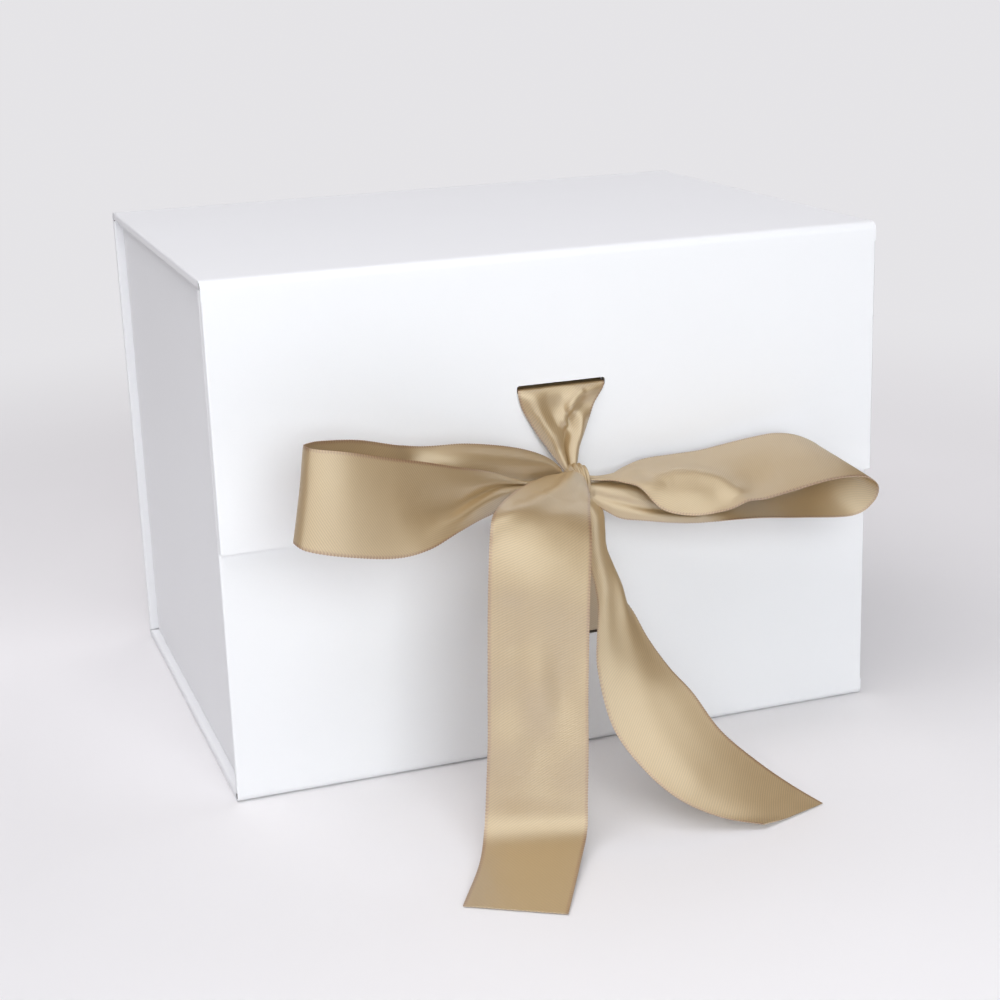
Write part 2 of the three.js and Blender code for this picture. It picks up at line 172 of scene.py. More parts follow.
# Painted reflection: for glossy rays the far table glows pale on the left and goes dark towards the right.
across = add_node(tree, "ShaderNodeSeparateXYZ", Vector=position).outputs["X"]
reflection_shaded_right = ramp_between(tree, across, *reflection_shade_span)
painted_reflection_tone = add_node(tree, "ShaderNodeMix", {"data_type": "RGBA"}, Factor=reflection_shaded_right)
painted_reflection_tone.inputs[6].default_value = (0.50, 0.49, 0.48, 1)
painted_reflection_tone.inputs[7].default_value = (0.10, 0.095, 0.09, 1)
plain_tone = add_node(tree, "ShaderNodeMix", {"data_type": "RGBA"})
tree.links.new(tree.nodes.new("ShaderNodeLightPath").outputs["Is Glossy Ray"], plain_tone.inputs[0])
plain_tone.inputs[6].default_value = backdrop_tone
tree.links.new(painted_reflection_tone.outputs[2], plain_tone.inputs[7])
plain = add_node(tree, "ShaderNodeEmission", Color=plain_tone.outputs[2], Strength=1.0)
blend_out = tree.nodes.new("ShaderNodeMixShader")
tree.links.new(shown, blend_out.inputs[0])
tree.links.new(shader.outputs[0], blend_out.inputs[1])
tree.links.new(plain.outputs[0], blend_out.inputs[2])
tree.links.new(blend_out.outputs[0], tree.nodes["Material Output"].inputs["Surface"])
floor_mesh.materials.append(floor_material)


# Light
# Plain soft studio light: a source low in front, one overhead, two behind and an even surround.
# What reflects sees a dim room with one wide bright window, in front and to the left.
world = bpy.data.worlds.new("surround")
world.use_nodes = True
scene.world = world
tree = world.node_tree
surround_light = tree.nodes["Background"]
surround_light.inputs["Color"].default_value = (0.985, 0.97, 1.0, 1)
surround_light.inputs["Strength"].default_value = 0.17
way = tree.nodes.new("ShaderNodeTexCoord").outputs["Generated"]
way_parts = add_node(tree, "ShaderNodeSeparateXYZ", Vector=way)
back_to_front = (0.15, -0.15)
window_foot = (-0.02, 0.08)
window_back_end = (-0.02, -0.20)
window_right_end = (0.64, 0.36)
in_front = ramp_between(tree, way_parts.outputs["Y"], *back_to_front)
room = add_node(tree, "ShaderNodeMix", {"data_type": "RGBA"}, Factor=in_front)
room.inputs[6].default_value = (0.15, 0.145, 0.14, 1)
room.inputs[7].default_value = (0.07, 0.067, 0.065, 1)
high_enough = ramp_between(tree, way_parts.outputs["Z"], *window_foot)
near_enough = ramp_between(tree, way_parts.outputs["Y"], *window_back_end)
left_enough = ramp_between(tree, way_parts.outputs["X"], *window_right_end)
in_window = maths(tree, "MULTIPLY", maths(tree, "MULTIPLY", high_enough, near_enough), left_enough)
windowed = add_node(tree, "ShaderNodeMix", {"data_type": "RGBA"}, Factor=in_window)
tree.links.new(room.outputs[2], windowed.inputs[6])
windowed.inputs[7].default_value = (1.15, 1.14, 1.05, 1)
reflected = tree.nodes.new("ShaderNodeLightPath").outputs["Is Glossy Ray"]
tone_seen = add_node(tree, "ShaderNodeMix", {"data_type": "RGBA"}, Factor=reflected)
tone_seen.inputs[6].default_value = backdrop_tone
tree.links.new(windowed.outputs[2], tone_seen.inputs[7])
surround_seen = add_node(tree, "ShaderNodeBackground", Color=tone_seen.outputs[2], Strength=1.0)
choose = tree.nodes.new("ShaderNodeMixShader")
tree.links.new(seen_straight(tree), choose.inputs[0])
tree.links.new(surround_light.outputs[0], choose.inputs[1])
tree.links.new(surround_seen.outputs[0], choose.inputs[2])
tree.links.new(choose.outputs[0], tree.nodes["World Output"].inputs["Surface"])


def soft_light(name, place, aim, size, power, colour):
    """A rectangular area light that looks at a point, and isn't seen itself."""
    data = bpy.data.lights.new(name, "AREA")
    data.shape = "RECTANGLE"
    data.size = size[0]
    data.size_y = size[1]
    data.energy = power
    data.color = colour
    lamp = bpy.data.objects.new(name, data)
    lamp.location = place
    lamp.rotation_mode = "QUATERNION"
    lamp.rotation_quaternion = (Vector(aim) - Vector(place)).to_track_quat("-Z", "Y")
    lamp.visible_camera = False
    lamp.visible_glossy = False
    scene.collection.objects.link(lamp)


cool_white = (0.935, 0.98, 1.0)
soft_white = (0.985, 0.97, 1.0)
front_middle = (-0.05, -0.08, 0.12)
soft_light("front_light", (-0.12, -0.92, 0.37), front_middle, (0.6, 0.5), 4.85, cool_white)
soft_light("top_light", (-0.35, -0.35, 1.0), (0, 0, 0.1), (0.8, 0.8), 5.7, soft_white)
soft_light("back_light_left", (-0.81, 0.49, 1.07), (0, 0, 0.08), (1.1, 1.0), 3.9, soft_white)
soft_light("back_light_right", (0.6, 0.5, 0.7), (0.1, 0.08, 0.08), (0.9, 0.7), 3.0, soft_white)


# Greyboard panels
# Each panel is a stiff sheet of grey recycled board, 2 mm thick and die cut. Its raw fibrous edge
# is bare in the cut slots, and at the creases, where it shows once the box is opened.
def place_in_millimetres(tree):
    """The place on the piece as it was made, in millimetres."""
    coordinates = tree.nodes.new("ShaderNodeTexCoord").outputs["Object"]
    scaled = add_node(tree, "ShaderNodeVectorMath", {"operation": "SCALE"}, Scale=1000.0)
    tree.links.new(coordinates, scaled.inputs[0])
    return scaled.outputs[0]


def noise(tree, vector, scale, detail=3.0, roughness=0.55):
    """The grey output of a noise over a vector."""
    node = add_node(
        tree, "ShaderNodeTexNoise", Vector=vector, Scale=scale, Detail=detail, Roughness=roughness,
    )
    return node.outputs["Fac"]


def mix_colours(tree, factor, first, second):
    """A mix of two colours, each a value or a link."""
    node = tree.nodes.new("ShaderNodeMix")
    node.data_type = "RGBA"
    for socket, value in ((node.inputs[0], factor), (node.inputs[6], first), (node.inputs[7], second)):
        if isinstance(value, bpy.types.NodeSocket):
            tree.links.new(value, socket)
        else:
            socket.default_value = value
    return node.outputs[2]


def add_bump(tree, shader, height, strength, distance):
    """Gives a shader a bump from a height, with its distance in metres."""
    bump = add_node(tree, "ShaderNodeBump", Height=height, Strength=strength, Distance=distance)
    tree.links.new(bump.outputs[0], shader.inputs["Normal"])


def dress(node_name, material):
    """Gives a CAD node its material, and smooth shading over its rounded edges."""
    mesh = nodes[node_name].data
    mesh.materials.clear()
    mesh.materials.append(material)
    mesh.shade_smooth()
    mesh.set_sharp_from_angle(angle=math.radians(40))


greyboard, tree, shader = new_material("greyboard")
at = place_in_millimetres(tree)
fibres = noise(tree, at, 1.6, 5.0, 0.7)
tone = mix_colours(tree, fibres, (0.20, 0.185, 0.165, 1), (0.34, 0.32, 0.29, 1))
tree.links.new(tone, shader.inputs["Base Color"])
shader.inputs["Roughness"].default_value = 0.92
add_bump(tree, shader, fibres, 0.6, 0.0002)
panels = ("base", "front", "back", "left_side", "right_side", "lid", "flap")
for panel in panels:
    dress(f"{panel}_board", greyboard)


# Outer papers
# White art paper, glued over each board's outer face and turned in over its free edges. It is
# matt and almost smooth, with the faint tooth of the sheet and of the board under it.
def art_paper(name, colour, tooth):
    """White paper: a faint cloudiness in the sheet, and a fine tooth in its surface."""
    material, tree, shader = new_material(name)
    at = place_in_millimetres(tree)
    cloud = noise(tree, at, 0.035, 2.0)
    darker = tuple(0.975 * value for value in colour[:3]) + (1,)
    fine = noise(tree, at, 2.6, 3.0, 0.65)
    base = mix_colours(tree, cloud, darker, colour)
    speckle = mix_colours(tree, ramp_between(tree, fine, 0.3, 0.75), base, colour)
    tree.links.new(speckle, shader.inputs["Base Color"])
    rough = ramp_between(tree, fine, 0.2, 0.8, 0.5, 0.6)
    tree.links.new(rough, shader.inputs["Roughness"])
    shader.inputs["Specular IOR Level"].default_value = 0.35
    board_wave = noise(tree, at, 0.09, 2.0)
    height = maths(tree, "MULTIPLY_ADD", board_wave, 3.0, fine)
    add_bump(tree, shader, height, tooth, 0.00006)
    return material


white_paper = art_paper("white_paper", (0.868, 0.872, 0.888, 1), 0.35)
for panel in panels:
    dress(f"{panel}_outer_paper", white_paper)


# Liners
# A plain white sheet glued over the inner face of each panel. It stays 3 mm back from an edge
# where it lies on turned-in paper, and covers the board right up to a bare end at a crease.
lining_paper = art_paper("lining_paper", (0.85, 0.85, 0.845, 1), 0.25)
for panel in panels:
    dress(f"{panel}_liner", lining_paper)


# Magnets
# Four thin nickel-plated discs, sunk into the boards of the flap and of the front wall under
# their paper, two facing two.
magnet_plate, tree, shader = new_material("nickel_plate")
at = place_in_millimetres(tree)
shader.inputs["Base Color"].default_value = (0.62, 0.61, 0.58, 1)
shader.inputs["Metallic"].default_value = 1.0
polish = noise(tree, at, 1.2, 4.0)
tree.links.new(ramp_between(tree, polish, 0.2, 0.8, 0.22, 0.38), shader.inputs["Roughness"])
for panel in ("front", "flap"):
    for side in ("left", "right"):
        dress(f"{panel}_magnet_{side}", magnet_plate)


# Creases of the case
# Where two panels of the case meet, only the outer paper runs round the corner, as one sheet that
# laps onto both panels. The two at the lid bend each time the box is opened, along a fine score.
panel_thick = 0.0025
crease_lap = 0.0030
crease_proud = 0.000012
crease_paper = 0.0002
crease_foot = 0.00015
score_spread = 0.08


def crease_strip(name, corner, first, second, bodies, hinge_ends=None):
    """A quarter round of paper about a corner, from one panel's face to the other's."""
    low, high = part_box(name)
    outer = panel_thick + crease_proud
    inner = outer - crease_paper
    turn_steps = 16
    length_steps = 160
    score_depth = 0.00005 if hinge_ends else 0.0
    corner, first, second = Vector(corner), Vector(first), Vector(second)
    outside = [corner + first * outer - second * crease_lap]
    inside = [corner + first * inner - second * crease_foot]
    for step in range(turn_steps + 1):
        share = step / turn_steps
        direction = math.cos(math.pi / 2 * share) * first + math.sin(math.pi / 2 * share) * second
        score = score_depth * math.exp(-((share - 0.5) / score_spread) ** 2)
        outside.append(corner + direction * (outer - score))
        inside.append(corner + direction * inner)
    outside.append(corner + second * outer - first * crease_lap)
    inside.append(corner + second * inner - first * crease_foot)
    lapped = [
        corner + first * panel_thick - second * crease_lap,
        corner + second * panel_thick - first * crease_lap,
    ]
    lap_foot = [
        corner + first * panel_thick - second * crease_foot,
        corner + second * panel_thick - first * crease_foot,
    ]
    ring = outside + [lapped[1], lap_foot[1]] + list(reversed(inside)) + [lap_foot[0], lapped[0]]
    size = len(ring)
    points = []
    faces = []
    for step in range(length_steps + 1):
        x = low.x + (high.x - low.x) * step / length_steps
        points.extend((x, place.y, place.z) for place in ring)
    for step in range(length_steps):
        for index in range(size):
            after = (index + 1) % size
            here = step * size
            there = here + size
            faces.append((here + index, there + index, there + after, here + after))
    faces.append(tuple(range(size)))
    faces.append(tuple(length_steps * size + index for index in reversed(range(size))))
    mesh = bpy.data.meshes.new(name + "_paper")
    mesh.from_pydata(points, [], faces)
    mesh.validate()
    mesh.update()
    mesh.materials.append(white_paper)
    mesh.shade_smooth()
    mesh.set_sharp_from_angle(angle=math.radians(50))
    strip = bpy.data.objects.new(name + "_paper", mesh)
    scene.collection.objects.link(strip)
    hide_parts(name)
    if hinge_ends:
        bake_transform(strip)
    else:
        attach(strip, bodies[0])


lid_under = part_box("lid_outer_paper")[1].z - panel_thick
back_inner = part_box("back_outer_paper")[1].y - panel_thick
front_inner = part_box("front_outer_paper")[0].y + panel_thick
flap_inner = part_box("flap_outer_paper")[0].y + panel_thick
crease_strip(
    "lid_back_crease", (0, back_inner, lid_under), (0, 1, 0), (0, 0, 1), ("box", "lid"),
    ((0, back_inner + panel_thick, lid_under), (0, back_inner, lid_under + panel_thick)),
)
crease_strip(
    "lid_flap_crease", (0, flap_inner, lid_under), (0, 0, 1), (0, -1, 0), ("lid", "flap"),
    ((0, flap_inner, lid_under + panel_thick), (0, flap_inner - panel_thick, lid_under)),
)
crease_strip("base_front_crease", (0, front_inner, panel_thick), (0, -1, 0), (0, 0, -1), ("box",))
crease_strip("base_back_crease", (0, back_inner, panel_thick), (0, 0, -1), (0, 1, 0), ("box",))


# Tabs and tapes of the side walls
# A folded card tab at each end of a side wall is pressed onto a strip of double-sided tape, which
# fixes the wall to the front and back panels when the box is set up.
tape_film, tree, shader = new_material("tape_film")
at = place_in_millimetres(tree)
weave = noise(tree, at, 0.8, 3.0)
tape_tone = mix_colours(tree, weave, (0.62, 0.64, 0.63, 1), (0.72, 0.73, 0.72, 1))
tree.links.new(tape_tone, shader.inputs["Base Color"])
shader.inputs["Roughness"].default_value = 0.35
for side in ("left", "right"):
    for end in ("front", "back"):
        dress(f"{side}_{end}_tab", lining_paper)
        dress(f"{side}_{end}_tape", tape_film)


# Ribbon
# Double-faced champagne satin, woven 26 mm wide with a fine looped selvedge along both edges. One
# length runs through the box's slots and is tied in a bow. It is cut off square at both ends.
def through(rows, at):
    """Points of the smooth curve, or surface, through a list of rows, at places counted in rows."""
    rows = np.asarray(rows, float)
    ends = np.concatenate([[2 * rows[0] - rows[1]], rows, [2 * rows[-1] - rows[-2]]])
    at = np.asarray(at, float)
    first = np.clip(at.astype(int), 0, len(rows) - 2)
    share = (at - first).reshape((-1,) + (1,) * (rows.ndim - 1))
    before, here, after, beyond = (ends[first + k] for k in range(4))
    return 0.5 * (
        2 * here
        + (after - before) * share
        + (2 * before - 5 * here + 4 * after - beyond) * share**2
        + (3 * here - before - 3 * after + beyond) * share**3
    )


ribbon_width = 26.0
ribbon_thick = 0.3
picot_pitch = 0.8
picot_reach = 0.12
edge_share = 0.4
next_to_edge_share = 0.62


def unit(vectors):
    """The same vectors, each of length 1."""
    return vectors / np.maximum(np.linalg.norm(vectors, axis=-1, keepdims=True), 1e-9)


def ribbon_surface(rows, columns=36, pleats=0, pleat_depth=0.0, folds=()):
    """The middle surface of a strand through rows of points, and its length, in millimetres.

    Pleats gather it where its rows are narrow. A fold is a soft ridge along a line from one place,
    as a row and a share across, to another, with its rise and the width to which it spreads.
    """
    spread = np.array([through(row, np.linspace(0, len(row) - 1, columns + 1)) for row in rows])
    rough_at = np.linspace(0, len(rows) - 1, 30 * len(rows))
    rough = through(spread, rough_at)[:, columns // 2]
    run = np.concatenate([[0], np.cumsum(np.linalg.norm(np.diff(rough, axis=0), axis=1))])
    length = run[-1]
    steps = 2 * round(length / picot_pitch)
    even_at = np.interp(np.linspace(0, length, steps + 1), run, rough_at)
    surface = through(spread, even_at)
    across = np.gradient(surface, axis=1)
    along = np.gradient(surface, axis=0)
    normal = unit(np.cross(along, across))
    widths = np.linalg.norm(np.diff(surface, axis=1), axis=2).sum(1)
    gathered = np.clip(1 - widths / ribbon_width, 0, 1)[:, None]
    share = np.linspace(0, 1, columns + 1)[None, :]
    wave = np.sin(2 * math.pi * pleats * share) * gathered * pleat_depth
    surface = surface + normal * wave[..., None]
    rise = np.zeros(surface.shape[:2])
    for from_row, from_share, to_row, to_share, height, width in folds:
        line_rows = np.linspace(from_row, to_row, 40)
        line_shares = np.linspace(from_share, to_share, 40)
        lines = through(spread, line_rows)
        line = np.array([through(row, [place * columns])[0] for row, place in zip(lines, line_shares)])
        gap = np.linalg.norm(surface[:, :, None] - line, axis=-1).min(-1)
        one = height * np.exp(-((gap / width) ** 2))
        rise = np.where(abs(one) > abs(rise), one, rise)
    surface = surface + normal * rise[..., None]
    return surface, length


def ribbon_mesh(name, surface, length, body, solid, blend_over=None):
    steps, columns = surface.shape[0] - 1, surface.shape[1] - 1
    across = np.gradient(surface, axis=1)
    along = np.gradient(surface, axis=0)
    normal = unit(np.cross(along, across))
    outward = unit(across)
    half = np.full(columns + 1, ribbon_thick / 2)
    half[[0, -1]] = edge_share * ribbon_thick
    half[[1, -2]] = next_to_edge_share * ribbon_thick
    reach = picot_reach * (np.arange(steps + 1) % 2)[:, None]
    surface = surface.copy()
    surface[:, 0] -= outward[:, 0] * reach
    surface[:, -1] += outward[:, -1] * reach
    front = surface + normal * half[None, :, None]
    rear = surface - normal * half[None, :, None]
    points = np.concatenate([front.reshape(-1, 3), rear.reshape(-1, 3)]) / 1000
    layer = (steps + 1) * (columns + 1)
    grid = np.arange(layer).reshape(steps + 1, columns + 1)
    a, b = grid[:-1, :-1].ravel(), grid[1:, :-1].ravel()
    c, d = grid[1:, 1:].ravel(), grid[:-1, 1:].ravel()
    faces = [np.stack([a, b, c, d], 1), np.stack([d, c, b, a], 1) + layer]
    for line, flip in ((grid[:, 0], False), (grid[:, -1], True), (grid[0], True), (grid[-1], False)):
        one, two = line[:-1], line[1:]
        quad = np.stack([one, one + layer, two + layer, two], 1)
        faces.append(quad[:, ::-1] if flip else quad)
    faces = np.concatenate(faces)
    mesh = bpy.data.meshes.new(name)
    mesh.from_pydata(points.tolist(), [], faces.tolist())
    flat = np.zeros((layer, 2))
    flat[:, 0] = np.tile(np.linspace(0, 1, columns + 1), steps + 1) * ribbon_width
    flat[:, 1] = np.repeat(np.linspace(0, length, steps + 1), columns + 1)
    flat = np.concatenate([flat, flat]) / 1000
    corners = np.zeros(len(mesh.loops), np.int32)
    mesh.loops.foreach_get("vertex_index", corners)
    layer_uv = mesh.uv_layers.new(name="laid_flat")
    layer_uv.data.foreach_set("uv", flat[corners].astype(np.float32).ravel())
    mesh.shade_smooth()
    mesh.set_sharp_from_angle(angle=math.radians(75))
    mesh.materials.append(satin)
    piece = bpy.data.objects.new(name, mesh)
    scene.collection.objects.link(piece)
    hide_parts(solid)
    if blend_over:
        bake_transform(piece)
    else:
        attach(piece, body)


satin, tree, shader = new_material("champagne_satin")
laid = add_node(tree, "ShaderNodeUVMap", {"uv_map": "laid_flat"}).outputs[0]
laid_mm = add_node(tree, "ShaderNodeVectorMath", {"operation": "SCALE"}, Scale=1000.0)
tree.links.new(laid, laid_mm.inputs[0])
parts = tree.nodes.new("ShaderNodeSeparateXYZ")
tree.links.new(laid_mm.outputs[0], parts.inputs[0])
across_mm, along_mm = parts.outputs[0], parts.outputs[1]
twill_pitch = 0.72
thread_pitch = 0.34
slant = maths(tree, "MULTIPLY_ADD", across_mm, 0.75, along_mm)
twill = maths(tree, "SINE", maths(tree, "MULTIPLY", slant, 2 * math.pi / twill_pitch))
threads = maths(tree, "SINE", maths(tree, "MULTIPLY", across_mm, 2 * math.pi / thread_pitch))
weave_height = maths(tree, "MULTIPLY_ADD", threads, 0.5, twill)
# Dark ticks along each edge at every other picot step: the spacing is the selvedge's loops, the dark brown is
# painted shade between them.
from_edge = maths(tree, "MINIMUM", across_mm, maths(tree, "SUBTRACT", ribbon_width, across_mm))
tick = maths(tree, "SINE", maths(tree, "MULTIPLY", along_mm, 2 * math.pi / picot_pitch))
margin = ramp_between(tree, from_edge, 1.0, 0.35)
picot_painted_shade = maths(tree, "MULTIPLY", margin, ramp_between(tree, tick, -0.6, 0.9, 0.25, 1.0))
slub = noise(tree, laid_mm.outputs[0], 0.35, 3.0, 0.6)
cloth = mix_colours(tree, slub, (0.310, 0.200, 0.090, 1), (0.342, 0.223, 0.103, 1))
woven = mix_colours(tree, ramp_between(tree, twill, -1.0, 1.0), cloth, (0.450, 0.300, 0.144, 1))
picot_shaded_colour = mix_colours(tree, picot_painted_shade, woven, (0.22, 0.075, 0.028, 1))
tree.links.new(picot_shaded_colour, shader.inputs["Base Color"])
satin_way = add_node(tree, "ShaderNodeTangent", {"direction_type": "UV_MAP", "uv_map": "laid_flat"})
tree.links.new(satin_way.outputs[0], shader.inputs["Tangent"])
shader.inputs["Anisotropic"].default_value = 0.35
shader.inputs["IOR"].default_value = 3.7
shader.inputs["Specular Tint"].default_value = (1.0, 0.985, 0.885, 1)
tree.links.new(ramp_between(tree, slub, 0.3, 0.7, 0.33, 0.38), shader.inputs["Roughness"])
add_bump(tree, shader, weave_height, 0.25, 0.00005)

flap_face_out = -1000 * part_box("flap_outer_paper")[0].y
knot_low, knot_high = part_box("ribbon_knot")
knot_rows_height = 85.0
knot_drop = 0.5
knot_height = 1000 * (knot_low.z + knot_high.z) / 2 - knot_drop


def bow_row(*points):
    """A row across the ribbon, from points given as (right, out from the flap, up)."""
    return [(x, -flap_face_out - out, knot_height + up - knot_rows_height) for x, out, up in points]


def tail_row(*points):
    """The same for a tail, whose heights run from the table up to the knot."""
    clear = 0.4
    fall = (knot_height - clear) / (knot_rows_height - clear)
    return [(x, -flap_face_out - out, clear + (up - clear) * fall) for x, out, up in points]


# Ribbon inside the box
# The ribbon goes in at the flap's slot, through the front wall, down behind it and out again at
# the lower slot. This run stays in the box when the bow is undone.
run_low, run_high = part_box("ribbon_inner_run")
run_inset = 0.2
run_front = 1000 * run_low.y
run_back = 1000 * run_high.y - run_inset
run_top = 1000 * run_high.z - run_inset
run_bottom = 1000 * run_low.z + run_inset
half_ribbon = ribbon_width / 2
run_line = [
    (run_front, run_top), (run_front + 2.0, run_top), (run_back - 0.8, run_top - 0.35),
    (run_back, run_top - 1.6), (run_back, run_top - 12), (run_back + 0.1, (run_top + run_bottom) / 2),
    (run_back, run_bottom + 12), (run_back, run_bottom + 1.6), (run_back - 0.8, run_bottom + 0.35),
    (run_front + 2.0, run_bottom), (run_front, run_bottom),
]
run_rows = [[(half_ribbon, y, z), (0, y, z), (-half_ribbon, y, z)] for y, z in run_line]
surface, length = ribbon_surface(run_rows, columns=12)
ribbon_mesh("satin_inner_run", surface, length, "box", "ribbon_inner_run")


# Upper neck
# It leaves the flap's slot flat and wide. Its two sides roll in towards the knot over a flat
# middle, so that they meet in a deep crease.
def neck_row(z, *points):
    """A row of a neck at one height, from points given as (right, out from the flap)."""
    return [(x, -flap_face_out - out, z) for x, out in points]


flat_places = (-13, -8.7, -4.3, 0, 4.3, 8.7, 13)
neck_end = knot_height + 3.6
upper_rows = [
    neck_row(run_top, *[(x, -2.55) for x in flat_places]),
    neck_row(run_top, *[(x, -1.28) for x in flat_places]),
    neck_row(run_top - 0.2, *[(x, 0.1) for x in flat_places]),
    neck_row(
        run_top - 1.9,
        (-13, 0.5), (-9.2, 1.9), (-4.6, 1.1), (-0.3, 0.9), (4.0, 1.6), (8.2, 1.7), (12.2, 0.5),
    ),
    neck_row(
        run_top - 5.6,
        (-12, 0.8), (-8.4, 2.8), (-4.2, 1.6), (-0.6, 1.5), (1.8, 3.0), (5.6, 1.3), (9.4, 1.2),
    ),
    neck_row(
        run_top - 9.6,
        (-10.0, 1.3), (-6.6, 3.8), (-3.0, 2.6), (-0.4, 2.9), (1.4, 1.0), (4.6, 3.4), (7.5, 1.8),
    ),
    neck_row(
        run_top - 13.6,
        (-7.8, 2.2), (-4.8, 4.8), (-1.9, 4.2), (-0.1, 1.6), (1.6, 3.6), (3.9, 4.6), (5.6, 2.6),
    ),
    neck_row(
        run_top - 17.4,
        (-5.4, 3.4), (-3.3, 5.4), (-1.5, 4.8), (-0.8, 2.6), (0.4, 4.6), (2.2, 5.4), (3.6, 3.8),
    ),
    neck_row(
        neck_end,
        (-2.2, 6.4), (-1.6, 7.8), (-1.1, 7.6), (-0.8, 5.8), (-0.3, 7.6), (0.6, 8.0), (1.4, 6.6),
    ),
]
surface, length = ribbon_surface(upper_rows, columns=48, folds=[(3.0, 0.72, 5.2, 0.55, 0.5, 1.0)])
ribbon_mesh("satin_upper_neck", surface, length, "bow", "ribbon_upper_neck")


# Lower neck
# The same satin, which comes out flat at the front wall's lower slot and is gathered upwards to
# the knot, where it is tied in. The tails hide most of it.
lower_rows = [
    neck_row(z, (-half, out), (half, out))
    for z, half, out in (
        (run_bottom, 13, -2.8), (run_bottom + 0.7, 13, -1.4), (run_bottom + 3.5, 12.6, 0.5),
        (run_bottom + 16, 10.5, 3), (run_bottom + 31, 6.5, 5), (knot_height - 4.1, 3, 6.5),
    )
]
surface, length = ribbon_surface(lower_rows, pleats=3, pleat_depth=1.3)
ribbon_mesh(
    "satin_lower_neck", surface, length, "bow", "ribbon_lower_neck",
)


# Knot
# The last turn of the ribbon, pulled tight round the strands into a small hard lump, with folds
# that run round it.
knot_centre = (knot_low + knot_high) / 2
knot_half = (knot_high - knot_low) / 2
knot_points = []
knot_faces = []
knot_rings = 60
knot_sides = 90
knot_folds = 5
knot_fold_depth = 0.08
knot_fold_twist = 1.3
knot_bluntness = 0.55
knot_in_box = 0.93
knot_laid = (0.02, 0.03)
knot_laid_from = 0.003
for ring in range(knot_rings + 1):
    tilt = math.pi * ring / knot_rings
    x = -math.cos(tilt)
    for side in range(knot_sides):
        angle = 2 * math.pi * side / knot_sides
        twist = knot_fold_twist * math.sin(angle)
        fold = 1 + knot_fold_depth * math.cos(knot_folds * math.pi * x + twist)
        radius = math.sin(tilt) ** knot_bluntness * fold
        knot_points.append((
            knot_centre.x + knot_half.x * x,
            knot_centre.y + knot_half.y * radius * math.cos(angle) * knot_in_box,
            knot_centre.z + knot_half.z * radius * math.sin(angle) * knot_in_box,
        ))
for ring in range(knot_rings):
    for side in range(knot_sides):
        after = (side + 1) % knot_sides
        here = ring * knot_sides
        there = here + knot_sides
        knot_faces.append((here + side, here + after, there + after, there + side))
knot_mesh = bpy.data.meshes.new("satin_knot")
knot_mesh.from_pydata(knot_points, [], knot_faces)
knot_uv = knot_mesh.uv_layers.new(name="laid_flat")
for loop in knot_mesh.loops:
    ring, side = divmod(loop.vertex_index, knot_sides)
    along_ribbon = knot_laid[1] * side / knot_sides
    knot_uv.data[loop.index].uv = (knot_laid_from + knot_laid[0] * ring / knot_rings, along_ribbon)
knot_mesh.materials.append(satin)
knot_mesh.shade_smooth()
knot = bpy.data.objects.new("satin_knot", knot_mesh)
scene.collection.objects.link(knot)
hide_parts("ribbon_knot")
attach(knot, "bow")


